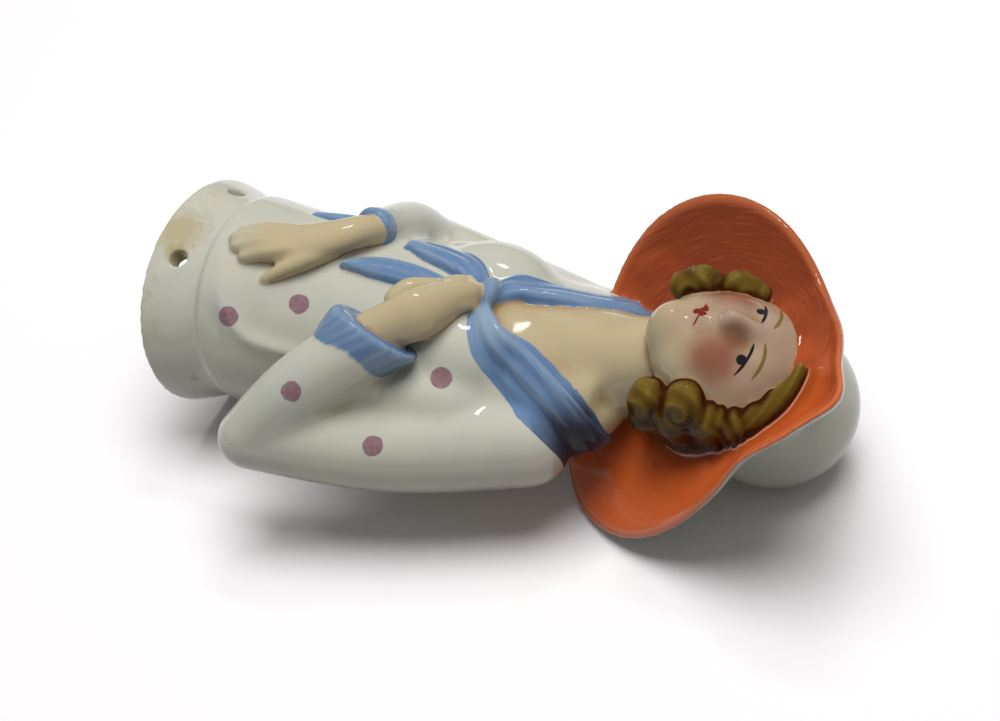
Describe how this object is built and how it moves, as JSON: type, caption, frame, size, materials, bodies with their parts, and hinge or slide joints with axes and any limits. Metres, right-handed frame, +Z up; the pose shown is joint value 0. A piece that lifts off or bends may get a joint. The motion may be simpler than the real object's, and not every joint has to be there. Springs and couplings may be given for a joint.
{
  "type": "pincushion half doll",
  "caption": "Hollow glazed porcelain half doll for a pincushion: a lady in a sun hat and scarf, with sew holes round her open base.",
  "frame": {"origin": "middle of the bounding box's bottom face, on the surface she lies on", "axes": "+X from the open base towards the hat, +Y towards her right arm, +Z up, out of her chest"},
  "size_m": [0.1076, 0.0588, 0.0364],
  "materials": {
    "glazed_porcelain": "clear glossy glaze over white porcelain, hand painted"
  },
  "bodies": {
    "root": {"doll_casting": "glazed_porcelain"}
  },
  "joints": []
}
